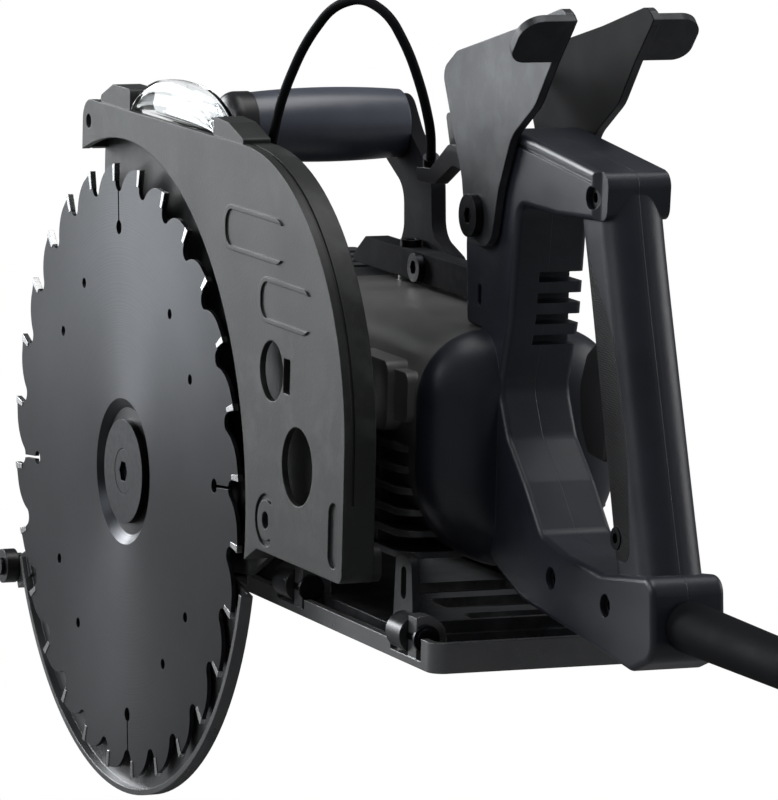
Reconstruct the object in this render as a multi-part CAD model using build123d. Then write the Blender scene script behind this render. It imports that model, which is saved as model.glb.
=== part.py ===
"""Worm drive circular saw, full size, in millimetres.

Frame: +X to the rear (the operator's end), +Y away from the blade, +Z up.
The origin is on the underside of the shoe, straight below the arbor, in the
upright plane of the motor shaft.
"""
from build123d import *
from math import cos, pi, radians, sin, tan
import os

# Blade and cut
BLADE_D = 260.4
BLADE_OFFSET = 80.0
PLATE_T = 1.8
KERF_T = 2.4
TEETH = 28
TIP_LENGTH = 7.5
TIP_WIDTH = 2.4
DISH_R = 27.0
DISH_DEPTH = 3.0
BLADE_BORE = 16.0
SLOT_DEPTH = 27.0
SLOT_WIDTH = 1.2
RELIEF_HOLE_D = 4.4
RELIEF_CIRCLE_D = 178.0

# Arbor
ARBOR_Z = 36.5
RUNNING = 0.05
SEAT = 0.3
WASHER_D = 44.0
FLANGE_D = 48.0
FLANGE_T = 5.0
SPINDLE_D = 20.0
ARBOR_BOLT_D = 10.0
ARBOR_HEAD_D = 19.0
ARBOR_HEAD_T = 2.4
HEX_SOCKET = 8.0

# Worm drive
GEAR_CENTRES = 39.0
WHEEL_TEETH = 30
WHEEL_TIP_D = 47.8
WHEEL_ROOT_D = 42.0
WHEEL_T = 22.0
WORM_STARTS = 6
WORM_TIP_D = 29.8
WORM_ROOT_D = 24.0
WORM_LENGTH = 36.0
WORM_LEAD = 90.6
SHAFT_D = 12.0

# Gear case and motor housing
NOSE_D = 66.0
NOSE_END = -76.2
NOSE_STEP = -62.0
CASE_FRONT = -44.0
CASE_REAR = 62.0
CASE_LEFT = -46.0
CASE_RIGHT = 42.0
CASE_BOTTOM = 7.0
HOUSING_REAR = 222.0
HOUSING_W = 86.0
HOUSING_RISE = 50.0
HOUSING_DROP = 45.5
HOUSING_CORNER = 28.0
HOUSING_BORE = 78.0
FIN_PITCH = 8.5
FIN_T = 2.6
FIN_REACH = 46.0
FINS = 6

# Motor
ARMATURE_D = 48.0
AIR_GAP = 0.6
CORE_START = 100.0
CORE_LENGTH = 60.0
COMMUTATOR_D = 28.0
BRUSH_X = 182.0
FAN_D = 68.0
FAN_BLADES = 9

# Upper guard
GUARD_FACE = -81.5
GUARD_T = 2.5
GUARD_BACK = -68.0
GUARD_BACK_T = 3.0
GUARD_RIM = 3.0
GUARD_OVER = 23.3
GUARD_FRONT = -51.0
GUARD_REAR = 241.0
GUARD_FOOT = 29.0
GUARD_CORNER = 110.0
GUARD_CLEAR = 10.8

# Lower guard
LOWER_CLEAR = 6.8
LOWER_WALL = 1.5
LOWER_RIM = 2.5
LOWER_FACE = -79.6
LOWER_BACK = -74.4
LOWER_START = 205.0
LOWER_END = 347.0
ROLLER_D = 15.0
ROLLER_PIN_D = 6.0
ROLLER_OUT = 13.0

# Shoe, carriage, depth and bevel
SHOE_T = 3.0
SHOE_FRONT = -124.0
SHOE_REAR = 283.0
SHOE_LEFT = -60.0
SHOE_RIGHT = 52.0
SHOE_LIP = 12.0
SHOE_LIP_T = 3.0
BEVEL_Y = -56.0
BEVEL_Z = 11.0
BEVEL_PIN_D = 8.0
KNUCKLE_D = 15.0
DEPTH_X = -96.0
DEPTH_Z = 24.0
DEPTH_PIN_D = 10.0
TONGUE_Y = -17.0
TONGUE_W = 16.0
LUG_T = 6.5
LUG_GAP = 0.3
CARRIAGE_Z = 4.6
CARRIAGE_T = 4.0
QUADRANT_R = 160.0
QUADRANT_W = 20.0
QUADRANT_Y = -56.0
QUADRANT_T = 4.0
DEPTH_SWING = 40.0
DEPTH_BOLT_ANGLE = 20.0
LOCK_BOLT_D = 8.0
BEVEL_R = 60.0
BEVEL_W = 18.0
BEVEL_SWING = 50.0
BEVEL_BOLT_ANGLE = 10.0
BEVEL_PLATE_X = -110.3

# Handle
HANDLE_W = 31.0
HANDLE_END = 386.0
CAP_W = 26.5
GRIP_W = 26.0
GRIP_DEPTH = 35.0
GRIP_LEAN = 0.32
PAD_T = 1.6
TRIGGER_W = 16.0
TRIGGER_PIVOT = (324.0, 131.0)
TRIGGER_PIN_D = 4.0
PIN_HALF = 10.0

# Rafter hook
HOOK_X = 221.5
HOOK_Z = 171.0
HOOK_GAP = 0.5
HOOK_T = 3.5
HOOK_BOLT_D = 8.0
TAB_L = 22.0
TAB_H = 23.0
TAB_FOOT = (289.5, 238.5)

# Front handle
FRONT_X = 50.0
FRONT_Z = 188.0
FRONT_GRIP_D = 31.0
FRONT_LEFT = -59.0
FRONT_RIGHT = 21.0
RAIL_FRONT = 25.0
RAIL_REAR = 190.0
RAIL_Y = 16.0
RAIL_W = 10.0
RAIL_H = 12.0
RAIL_BOLT_X = 99.0
STRAP_T = 7.0

# Guard lift cable, cord
LIFT_PIVOT = (214.0, 186.0)
CABLE_D = 4.0
FERRULE_L = 10.0
CORD_Z = 34.0
CORD_D = 9.0
BOOT_D = 20.0
BOOT_L = 125.0
PLUG_D = 37.6

# Blade lock button
LOCK_Y = -18.0
LOCK_Z = 96.0
LOCK_D = 9.0

BLADE_R = BLADE_D / 2
MOTOR_Z = ARBOR_Z + GEAR_CENTRES
BLADE_Y = -BLADE_OFFSET
DISH_Y = BLADE_Y + DISH_DEPTH
FLANGE_Y = DISH_Y + PLATE_T
HOUSING_TOP = MOTOR_Z + HOUSING_RISE
GUARD_TOP = ARBOR_Z + BLADE_R + GUARD_OVER
GUARD_OPENING_D = BLADE_D + 2 * GUARD_CLEAR
LOWER_D = BLADE_D + 2 * LOWER_CLEAR
ROLLER_CIRCLE_D = LOWER_D + 2 * ROLLER_OUT
LENS_Y = (GUARD_FACE + GUARD_BACK) / 2
RAIL_Z = HOUSING_TOP + 2 + RAIL_H / 2

NODES = {}


def keep(name, *pieces):
    """Store the solids of one named node."""
    solids = [solid for piece in pieces for solid in piece.solids()]
    NODES[name] = solids[0] if len(solids) == 1 else Compound(children=solids)


def rod_x(y, z, x0, x1, d):
    return Pos((x0 + x1) / 2, y, z) * Rot(0, 90, 0) * Cylinder(d / 2, x1 - x0)


def rod_y(x, z, y0, y1, d):
    return Pos(x, (y0 + y1) / 2, z) * Rot(90, 0, 0) * Cylinder(d / 2, y1 - y0)


def rod_z(x, y, z0, z1, d):
    return Pos(x, y, (z0 + z1) / 2) * Cylinder(d / 2, z1 - z0)


def block(x0, x1, y0, y1, z0, z1):
    return Pos((x0 + x1) / 2, (y0 + y1) / 2, (z0 + z1) / 2) * Box(x1 - x0, y1 - y0, z1 - z0)


def slab_x(face, x0, x1):
    """A flat (y, z) face made solid from x0 to x1."""
    return extrude(Plane.YZ.offset(x0) * face, x1 - x0)


def slab_y(face, y0, y1):
    """A flat (x, z) face made solid from y0 to y1."""
    return extrude(Plane.XZ.offset(-y1) * face, y1 - y0)


def slab_z(face, z0, z1):
    """A flat (x, y) face made solid from z0 to z1."""
    return extrude(Plane.XY.offset(z0) * face, z1 - z0)


def outline(*corners):
    """A closed flat face through (a, b, radius) corners, each rounded by its radius."""
    starts, middles, ends = [], [], []
    for i, (a, b, r) in enumerate(corners):
        here = Vector(a, b)
        back = (Vector(*corners[i - 1][:2]) - here).normalized()
        on = (Vector(*corners[(i + 1) % len(corners)][:2]) - here).normalized()
        half = radians(back.get_angle(on)) / 2
        starts.append(here + back * (r / tan(half)))
        ends.append(here + on * (r / tan(half)))
        inward = (back + on).normalized() if r else back
        middles.append(here + inward * (r / sin(half) - r))
    edges = []
    for i, (a, b, r) in enumerate(corners):
        if r:
            edges.append(ThreePointArc(starts[i], middles[i], ends[i]))
        following = starts[(i + 1) % len(corners)]
        if (following - ends[i]).length > 1e-4:
            edges.append(Line(ends[i], following))
    return make_face(edges)


def rounded(a, b, width, height, r):
    return Pos(a, b) * RectangleRounded(width, height, r)


def disc(a, b, d):
    return Pos(a, b) * Circle(d / 2)


def sector(a, b, r0, r1, from_angle, to_angle):
    """A ring sector about (a, b) between two radii and two angles."""
    def at(r, angle):
        return (a + r * cos(radians(angle)), b + r * sin(radians(angle)))
    middle = (from_angle + to_angle) / 2
    return make_face([
        Line(at(r0, from_angle), at(r1, from_angle)),
        ThreePointArc(at(r1, from_angle), at(r1, middle), at(r1, to_angle)),
        Line(at(r1, to_angle), at(r0, to_angle)),
        ThreePointArc(at(r0, to_angle), at(r0, middle), at(r0, from_angle)),
    ])


def arc_slot(a, b, r, width, from_angle, to_angle):
    """A slot of the given width along an arc, with round ends."""
    face = sector(a, b, r - width / 2, r + width / 2, from_angle, to_angle)
    for angle in (from_angle, to_angle):
        face += disc(a + r * cos(radians(angle)), b + r * sin(radians(angle)), width)
    return face


def hexagon(a, b, across):
    return Pos(a, b) * RegularPolygon(across / 2, 6, major_radius=False)


def screw_y(x, z, y_face, depth, d, head_d, head_t, side):
    """A round headed screw along Y with its head on y_face; side is -1 for a left head."""
    head = rod_y(x, z, *sorted((y_face, y_face + side * head_t)), head_d)
    socket = slab_y(hexagon(x, z, head_d * 0.45), *sorted((y_face + side * head_t * 0.4,
                                                           y_face + side * head_t)))
    shank = rod_y(x, z, *sorted((y_face, y_face - side * depth)), d)
    return head - socket + shank


def tooth_angle(i):
    """Tip angle of tooth i, set so that the four slots open into gullets."""
    return 7.2 + 360 * i / TEETH


def blade_point(angle, along, inward):
    turn = radians(angle) + along / BLADE_R
    r = BLADE_R - inward
    return (r * cos(turn), ARBOR_Z + r * sin(turn))


def blade():
    edges = []
    pitch = pi * BLADE_D / TEETH
    for i in range(TEETH):
        def at(along, inward):
            return blade_point(tooth_angle(i), along, inward)
        tip_back = at(TIP_WIDTH, 0.7)
        shoulder = at(9.0, 1.9)
        throat = at(21.0, 9.6)
        floor = at(25.6, 11.8)
        seat = at(pitch - 0.2, TIP_LENGTH)
        edges.append(Line(tip_back, shoulder))
        edges.append(ThreePointArc(shoulder, at(16.0, 5.0), throat))
        edges.append(ThreePointArc(throat, floor, seat))
        edges.append(Line(seat, at(pitch + TIP_WIDTH, TIP_LENGTH)))
        edges.append(Line(at(pitch + TIP_WIDTH, TIP_LENGTH), at(pitch + TIP_WIDTH, 0.7)))
    rim = make_face(edges)
    slots = Sketch()
    for k in range(4):
        angle = 5.6 + 90 * k
        long = SLOT_DEPTH - 6
        middle = BLADE_R - 6 - long / 2
        turn = Pos(0, ARBOR_Z) * Rot(0, 0, angle)
        slots += turn * Pos(middle, 0) * Rectangle(long, SLOT_WIDTH)
        slots += turn * Pos(BLADE_R - SLOT_DEPTH, 0) * Circle(3.0)
        for side in (-1, 1):
            hole_turn = Pos(0, ARBOR_Z) * Rot(0, 0, 45 + 90 * k + 11 * side)
            slots += hole_turn * Pos(RELIEF_CIRCLE_D / 2, 0) * Circle(RELIEF_HOLE_D / 2)
    plate = slab_y(rim - slots - disc(0, ARBOR_Z, 2 * DISH_R + 8), BLADE_Y, BLADE_Y + PLATE_T)
    profile = [
        (BLADE_BORE / 2, DISH_Y), (DISH_R, DISH_Y), (DISH_R + 4, BLADE_Y),
        (DISH_R + 6, BLADE_Y), (DISH_R + 6, BLADE_Y + PLATE_T),
        (DISH_R + 4.6, BLADE_Y + PLATE_T), (DISH_R + 0.6, FLANGE_Y), (BLADE_BORE / 2, FLANGE_Y),
    ]
    dish = revolve(Plane.XY * make_face(Polyline(*profile, close=True)), Axis.Y)
    keep("blade", plate + Pos(0, 0, ARBOR_Z) * dish)
    tips = []
    for i in range(TEETH):
        corners = [blade_point(tooth_angle(i), u, v) for u, v in
                   ((-0.5, 0), (TIP_WIDTH, 0.5), (TIP_WIDTH, TIP_LENGTH), (0.3, TIP_LENGTH))]
        grow = (KERF_T - PLATE_T) / 2
        tips.append(slab_y(make_face(Polyline(*corners, close=True)),
                           BLADE_Y - grow, BLADE_Y + PLATE_T + grow))
    keep("blade_tips", *tips)


def arbor():
    washer = rod_y(0, ARBOR_Z, BLADE_Y, DISH_Y, WASHER_D)
    washer -= rod_y(0, ARBOR_Z, BLADE_Y, DISH_Y, ARBOR_BOLT_D + 0.4)
    head_end = BLADE_Y + 0.1 + ARBOR_HEAD_T
    washer -= rod_y(0, ARBOR_Z, BLADE_Y, head_end, ARBOR_HEAD_D + 0.4)
    keep("blade_washer", washer)
    bolt = rod_y(0, ARBOR_Z, BLADE_Y + 0.1, head_end, ARBOR_HEAD_D)
    bolt -= slab_y(hexagon(0, ARBOR_Z, HEX_SOCKET), BLADE_Y, head_end - 0.5)
    bolt += rod_y(0, ARBOR_Z, head_end - 0.4, BLADE_Y + 30, ARBOR_BOLT_D)
    bolt -= slab_y(hexagon(0, ARBOR_Z, HEX_SOCKET), BLADE_Y, head_end - 0.5)
    keep("arbor_bolt", bolt)
    flange_end = FLANGE_Y + FLANGE_T
    flange = rod_y(0, ARBOR_Z, FLANGE_Y, flange_end, FLANGE_D)
    flange -= rod_y(0, ARBOR_Z, FLANGE_Y, flange_end, BLADE_BORE - 0.1)
    keep("blade_flange", flange)
    spindle = rod_y(0, ARBOR_Z, DISH_Y + 0.2, flange_end + 1, BLADE_BORE - 0.12)
    spindle += rod_y(0, ARBOR_Z, flange_end, 30, SPINDLE_D)
    spindle += rod_y(0, ARBOR_Z, -52, -WHEEL_T / 2, SPINDLE_D + 5)
    spindle -= rod_y(0, ARBOR_Z, DISH_Y, BLADE_Y + 34, ARBOR_BOLT_D)
    keep("spindle", spindle)


def worm_drive():
    """Six start worm on the motor shaft over a thirty tooth wheel on the spindle."""
    step = 360 / WHEEL_TEETH
    gear = Circle(WHEEL_ROOT_D / 2)
    for i in range(WHEEL_TEETH):
        tooth = Polyline((WHEEL_ROOT_D / 2 - 0.5, -1.4), (WHEEL_TIP_D / 2, -0.6),
                         (WHEEL_TIP_D / 2, 0.6), (WHEEL_ROOT_D / 2 - 0.5, 1.4), close=True)
        gear += Rot(0, 0, i * step) * make_face(tooth)
    wheel = extrude(gear, WHEEL_T) - Cylinder(SPINDLE_D / 2, 3 * WHEEL_T)
    keep("worm_wheel", Pos(0, WHEEL_T / 2, ARBOR_Z) * Rot(90, 0, 0) * wheel)
    lobes = Circle(WORM_ROOT_D / 2)
    for i in range(WORM_STARTS):
        thread = Polyline((WORM_ROOT_D / 2 - 0.5, -2.6), (WORM_TIP_D / 2 - 0.3, -1.5),
                          (WORM_TIP_D / 2 - 0.3, 1.5), (WORM_ROOT_D / 2 - 0.5, 2.6), close=True)
        lobes += Rot(0, 0, i * 360 / WORM_STARTS) * make_face(thread)
    turn = 360 * WORM_LENGTH / WORM_LEAD
    worm = Solid.extrude_linear_with_rotation(lobes.faces()[0], (0, 0, 0), (0, 0, WORM_LENGTH), turn)
    worm = Part() + worm - Cylinder(SHAFT_D / 2, 3 * WORM_LENGTH)
    keep("worm", Pos(-WORM_LENGTH / 2, 0, MOTOR_Z) * Rot(0, 90, 0) * worm)


def bearings():
    def race_y(y0, y1, outer, shaft):
        ring = rod_y(0, ARBOR_Z, y0, y1, outer) - rod_y(0, ARBOR_Z, y0, y1, shaft + 2 * RUNNING)
        groove = rod_y(0, ARBOR_Z, y0, y0 + 0.6, outer - 6) - rod_y(0, ARBOR_Z, y0, y0 + 0.6, shaft + 6)
        return ring - groove

    def race_x(x0, x1, outer):
        ring = rod_x(0, MOTOR_Z, x0, x1, outer) - rod_x(0, MOTOR_Z, x0, x1, SHAFT_D + 2 * RUNNING)
        groove = rod_x(0, MOTOR_Z, x0, x0 + 0.6, outer - 5) - rod_x(0, MOTOR_Z, x0, x0 + 0.6, SHAFT_D + 5)
        return ring - groove
    keep("bearings", race_y(-68, -56, 36, SPINDLE_D), race_y(16, 28, 34, SPINDLE_D),
         race_x(-38, -30, 28), race_x(46, 58, 34), race_x(206, 214, 26))


def case_outline():
    return outline(
        (CASE_FRONT, HOUSING_TOP, 18), (CASE_REAR, HOUSING_TOP, 0), (CASE_REAR, MOTOR_Z - HOUSING_DROP, 0),
        (34, CASE_BOTTOM, 12), (-34, CASE_BOTTOM, 14), (CASE_FRONT, 40, 8),
    )


def gear_case():
    body = slab_y(case_outline(), CASE_LEFT, CASE_RIGHT)
    ends = body.faces().filter_by(Axis.Y)
    body = fillet([e for f in ends for e in f.edges() if e.center().X < CASE_REAR - 1], 7)
    mouth = slab_x(motor_section(), CASE_REAR - 12, CASE_REAR)
    body += mouth
    body += rod_y(0, ARBOR_Z, NOSE_END, NOSE_STEP, NOSE_D)
    body += rod_y(0, ARBOR_Z, NOSE_STEP, CASE_LEFT + 8, NOSE_D - 12)
    tongue = outline((CASE_FRONT + 4, 58, 0), (CASE_FRONT + 4, 18, 0), (DEPTH_X - 9, DEPTH_Z - 9, 8.9),
                     (DEPTH_X - 9, DEPTH_Z + 9, 8.9))
    body += slab_y(tongue, TONGUE_Y - TONGUE_W / 2, TONGUE_Y + TONGUE_W / 2)
    body -= rod_y(DEPTH_X, DEPTH_Z, -40, 30, DEPTH_PIN_D + 2 * RUNNING)
    for x, z in guard_screw_places():
        body += rod_y(x, z, GUARD_BACK, CASE_LEFT + 8, 13)
    bolt_x, bolt_z = depth_bolt_place()
    boss = rod_y(bolt_x, bolt_z, CASE_LEFT - 3, CASE_LEFT + 8, 20)
    body += boss & block(0, CASE_REAR, -90, 0, 0, 120)
    body -= rod_y(bolt_x, bolt_z, CASE_LEFT - 4, CASE_LEFT + 7, LOCK_BOLT_D)
    # Bores for the spindle, the wheel, the worm and their bearings
    body -= rod_y(0, ARBOR_Z, BLADE_Y, FLANGE_Y + 0.8, NOSE_D - 6)
    body -= rod_y(0, ARBOR_Z, BLADE_Y, -68, FLANGE_D + 4)
    body -= rod_y(0, ARBOR_Z, -68, -56, 36)
    body -= rod_y(0, ARBOR_Z, -57, 0, SPINDLE_D + 8)
    body -= rod_y(0, ARBOR_Z, -16, CASE_RIGHT + 1, WHEEL_TIP_D + 5)
    body -= rod_x(0, MOTOR_Z, -30, 46, WORM_TIP_D + 4)
    body -= rod_x(0, MOTOR_Z, -38.2, -30, 28)
    body -= rod_x(0, MOTOR_Z, 46, CASE_REAR + 1, 34)
    for x, z in guard_screw_places():
        body -= rod_y(x, z, GUARD_BACK - 1, GUARD_BACK + 11, 5)
    for x, z in cover_screw_places():
        body -= rod_y(x, z, CASE_RIGHT - 13, CASE_RIGHT + 1, 4)
    # Cooling grooves across the top and an oil filler boss on the right
    for k in range(4):
        x = -16 + 15 * k
        body -= block(x, x + 7, CASE_LEFT - 1, CASE_RIGHT + 1, HOUSING_TOP - 2, HOUSING_TOP + 1)
    body += rod_y(-22, MOTOR_Z + 22, CASE_RIGHT - 4, CASE_RIGHT + 3, 22)
    body -= rod_y(-22, MOTOR_Z + 22, CASE_RIGHT - 6, CASE_RIGHT + 4, 12)
    # Bore of the blade lock button on the front
    body -= rod_x(LOCK_Y, LOCK_Z, CASE_FRONT - 1, CASE_FRONT + 16, LOCK_D + 2 * RUNNING)
    keep("gear_case", body)
    plug = rod_y(-22, MOTOR_Z + 22, CASE_RIGHT - 5, CASE_RIGHT + 3, 12)
    plug += rod_y(-22, MOTOR_Z + 22, CASE_RIGHT + 3, CASE_RIGHT + 6, 19)
    plug -= slab_y(rounded(-22, MOTOR_Z + 22, 12, 2.4, 1), CASE_RIGHT + 4.5, CASE_RIGHT + 7)
    keep("oil_plug", plug)


def guard_screw_places():
    r = NOSE_D / 2 + 7
    return [(r * cos(radians(a)), ARBOR_Z + r * sin(radians(a))) for a in (30, 90, 150)]


def depth_bolt_place():
    a = radians(DEPTH_BOLT_ANGLE)
    return DEPTH_X + QUADRANT_R * cos(a), DEPTH_Z + QUADRANT_R * sin(a)


def cover_screw_places():
    return [(27.5 * cos(radians(a)), ARBOR_Z + 27.5 * sin(radians(a))) for a in (45, 135, 225, 315)]


def gear_cover():
    cover = rod_y(0, ARBOR_Z, CASE_RIGHT, CASE_RIGHT + 4, 64)
    cover += rod_y(0, ARBOR_Z, CASE_RIGHT + 4, CASE_RIGHT + 8, 36)
    cover += rod_y(0, ARBOR_Z, 14, CASE_RIGHT, WHEEL_TIP_D + 4.9)
    cover -= rod_y(0, ARBOR_Z, 13, 28, 34)
    cover -= rod_y(0, ARBOR_Z, 27, 34, SPINDLE_D + 4)
    cover -= block(-40, 40, CASE_RIGHT - 1, CASE_RIGHT + 8, -10, CASE_BOTTOM + 3)
    for x, z in cover_screw_places():
        cover -= rod_y(x, z, CASE_RIGHT - 12, CASE_RIGHT + 5, 4)
    keep("gear_cover", cover)


def case_screws():
    """Socket head screws of the gear cover, the upper guard and the front handle rail."""
    screws = [screw_y(x, z, CASE_RIGHT + 4, 12, 4, 7.5, 3, 1) for x, z in cover_screw_places()]
    screws += [screw_y(x, z, GUARD_BACK - GUARD_BACK_T, 10, 5, 8, 1.6, -1) for x, z in guard_screw_places()]
    top = RAIL_Z + RAIL_H / 2
    for x in rail_screws():
        screw = rod_z(x, RAIL_Y, HOUSING_TOP - 6, top, 5) + rod_z(x, RAIL_Y, top, top + 3, 9)
        screws.append(screw - slab_z(hexagon(x, RAIL_Y, 4), top + 1, top + 4))
    screws.append(screw_y(RAIL_BOLT_X, RAIL_Z, RAIL_Y - RAIL_W / 2, 19, 6, 12, 3, -1))
    keep("case_screws", *screws)


def rail_screws():
    return (CASE_REAR + 16, RAIL_REAR - 12)


def motor_section(narrow=0.0, low=0.0, corner=HOUSING_CORNER):
    """Section of the motor housing: a boxy top over a round belly, drawn in by the two amounts."""
    half = HOUSING_W / 2 - narrow
    top = MOTOR_Z + HOUSING_RISE - low
    bottom = MOTOR_Z - HOUSING_DROP + low
    belly = min(half - 1, (top - bottom) / 2 - 1)
    return outline((-half, top, corner), (half, top, corner), (half, bottom, belly), (-half, bottom, belly))


def motor_housing():
    shape = slab_x(motor_section(), CASE_REAR, HOUSING_REAR)
    # Cooling fins: shelves that reach past the round belly, tied by an upright rib
    fins = [MOTOR_Z + 2 - FIN_PITCH * k for k in range(FINS)]
    first, last = 128, HOUSING_REAR - 4
    plan = rounded((first + last) / 2, 0, last - first, 2 * FIN_REACH, 9)
    for z in fins:
        shape += slab_z(plan, z - FIN_T / 2, z + FIN_T / 2)
    shape += block(184, 189, -FIN_REACH + 2, FIN_REACH - 2, fins[-1], fins[0])
    shape -= rod_x(0, MOTOR_Z, CASE_REAR - 1, HOUSING_REAR + 1, HOUSING_BORE)
    for side in (-1, 1):
        outer = side * HOUSING_W / 2
        # Brush box, with a step toward the rear
        face = rounded(BRUSH_X + 4, MOTOR_Z + 22, 42, 28, 5)
        step = rounded(BRUSH_X + 26, MOTOR_Z + 23, 24, 20, 4)
        box = slab_y(face, *sorted((outer - side * 14, outer + side * 6)))
        box += slab_y(step, *sorted((outer - side * 14, outer + side * 3)))
        shape += box - rod_x(0, MOTOR_Z, CASE_REAR, HOUSING_REAR, HOUSING_BORE)
        shape -= rod_y(BRUSH_X, MOTOR_Z + 20, *sorted((side * 18, outer + side * 7)), 15)
    # Bosses under the front handle rail
    for x in rail_screws():
        shape += rod_z(x, RAIL_Y, HOUSING_TOP - 3, RAIL_Z - RAIL_H / 2, 10)
        shape -= rod_z(x, RAIL_Y, HOUSING_TOP - 6, RAIL_Z, 5)
    keep("motor_housing", shape)


def motor():
    z = MOTOR_Z
    shaft = rod_x(0, z, -37.5, 214, SHAFT_D)
    keep("motor_shaft", shaft)
    core = rod_x(0, z, CORE_START, CORE_START + CORE_LENGTH, ARMATURE_D)
    for i in range(12):
        a = radians(30 * i)
        reach = ARMATURE_D / 2 - 2
        core -= rod_x(reach * cos(a), z + reach * sin(a), CORE_START - 1, CORE_START + CORE_LENGTH + 1, 3.6)
    core -= rod_x(0, z, CORE_START - 1, CORE_START + CORE_LENGTH + 1, SHAFT_D)
    keep("armature_core", core)
    windings = []
    for x0, x1 in ((CORE_START - 10, CORE_START), (CORE_START + CORE_LENGTH, CORE_START + CORE_LENGTH + 10)):
        windings.append(rod_x(0, z, x0, x1, ARMATURE_D - 8) - rod_x(0, z, x0, x1, SHAFT_D))
    keep("armature_windings", *windings)
    commutator = rod_x(0, z, BRUSH_X - 9, BRUSH_X + 11, COMMUTATOR_D) - rod_x(0, z, 100, 220, SHAFT_D)
    for i in range(12):
        turn = Pos(0, 0, z) * Rot(30 * i, 0, 0)
        commutator -= turn * Pos(BRUSH_X + 1, 0, COMMUTATOR_D / 2) * Box(21, 0.8, 1.6)
    keep("commutator", commutator)
    hub = rod_x(0, z, 70, 84, 24) - rod_x(0, z, 69, 85, SHAFT_D)
    fan = hub + rod_x(0, z, 82, 84, FAN_D) - rod_x(0, z, 69, 85, SHAFT_D)
    for i in range(FAN_BLADES):
        vane = Pos(76, 0, FAN_D / 4 + 5) * Rot(0, 0, 25) * Box(12, 1.6, FAN_D / 2 - 12)
        fan += Pos(0, 0, z) * Rot(360 * i / FAN_BLADES, 0, 0) * vane
    keep("cooling_fan", fan)
    stator = rod_x(0, z, CORE_START - 2, CORE_START + CORE_LENGTH + 2, HOUSING_BORE)
    stator -= rod_x(0, z, CORE_START - 3, CORE_START + CORE_LENGTH + 3, ARMATURE_D + 2 * AIR_GAP)
    for side in (-1, 1):
        stator -= slab_x(rounded(side * 30, z, 10, 34, 4), CORE_START - 3, CORE_START + CORE_LENGTH + 3)
    keep("field_core", stator)
    coils = []
    for side in (-1, 1):
        coil = slab_x(rounded(side * 30, z, 9.4, 33.4, 3.7), CORE_START - 9, CORE_START + CORE_LENGTH + 9)
        coils.append(coil)
    keep("field_coils", *coils)
    bracket = rod_x(0, z, 204, 216, HOUSING_BORE)
    bracket -= rod_x(0, z, 203, 214, 26) + rod_x(0, z, 203, 217, SHAFT_D + 3)
    for a in (45, 135, 225, 315):
        bracket -= rod_x(26 * cos(radians(a)), z + 26 * sin(radians(a)), 203, 217, 17)
    keep("rear_bearing_bracket", bracket)
    brushes, holders, caps = [], [], []
    top = z + 20
    for side in (-1, 1):
        near, far = side * 19, side * (HOUSING_W / 2 + 2)
        holders.append(rod_y(BRUSH_X, top, *sorted((near, far)), 15)
                       - slab_y(rounded(BRUSH_X, top, 8, 8, 0.5), *sorted((near - side, far + side))))
        brushes.append(slab_y(rounded(BRUSH_X, top, 7.8, 7.8, 0.5), *sorted((side * 15, side * 38))))
        cap = rod_y(BRUSH_X, top, *sorted((far, side * (HOUSING_W / 2 + 7))), 15)
        cap -= slab_y(rounded(BRUSH_X, top, 10, 2.2, 1), *sorted((side * (HOUSING_W / 2 + 5.5), side * 60)))
        caps.append(cap)
    keep("brush_holders", *holders)
    keep("carbon_brushes", *brushes)
    keep("brush_caps", *caps)


def guard_outline(grow=0.0):
    g = grow
    return outline(
        (GUARD_FRONT - g, GUARD_TOP + g, 9 + g), (GUARD_REAR + g, GUARD_TOP + g, GUARD_CORNER + g),
        (GUARD_REAR + g, GUARD_FOOT - g, 4), (153, GUARD_FOOT - g, 3), (120, 12 - g, 14), (0, 2 - g, 20),
        (-38 - g, 16, 14), (-38 - g, 78, 20), (GUARD_FRONT - g, 152, 20),
    )


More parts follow.
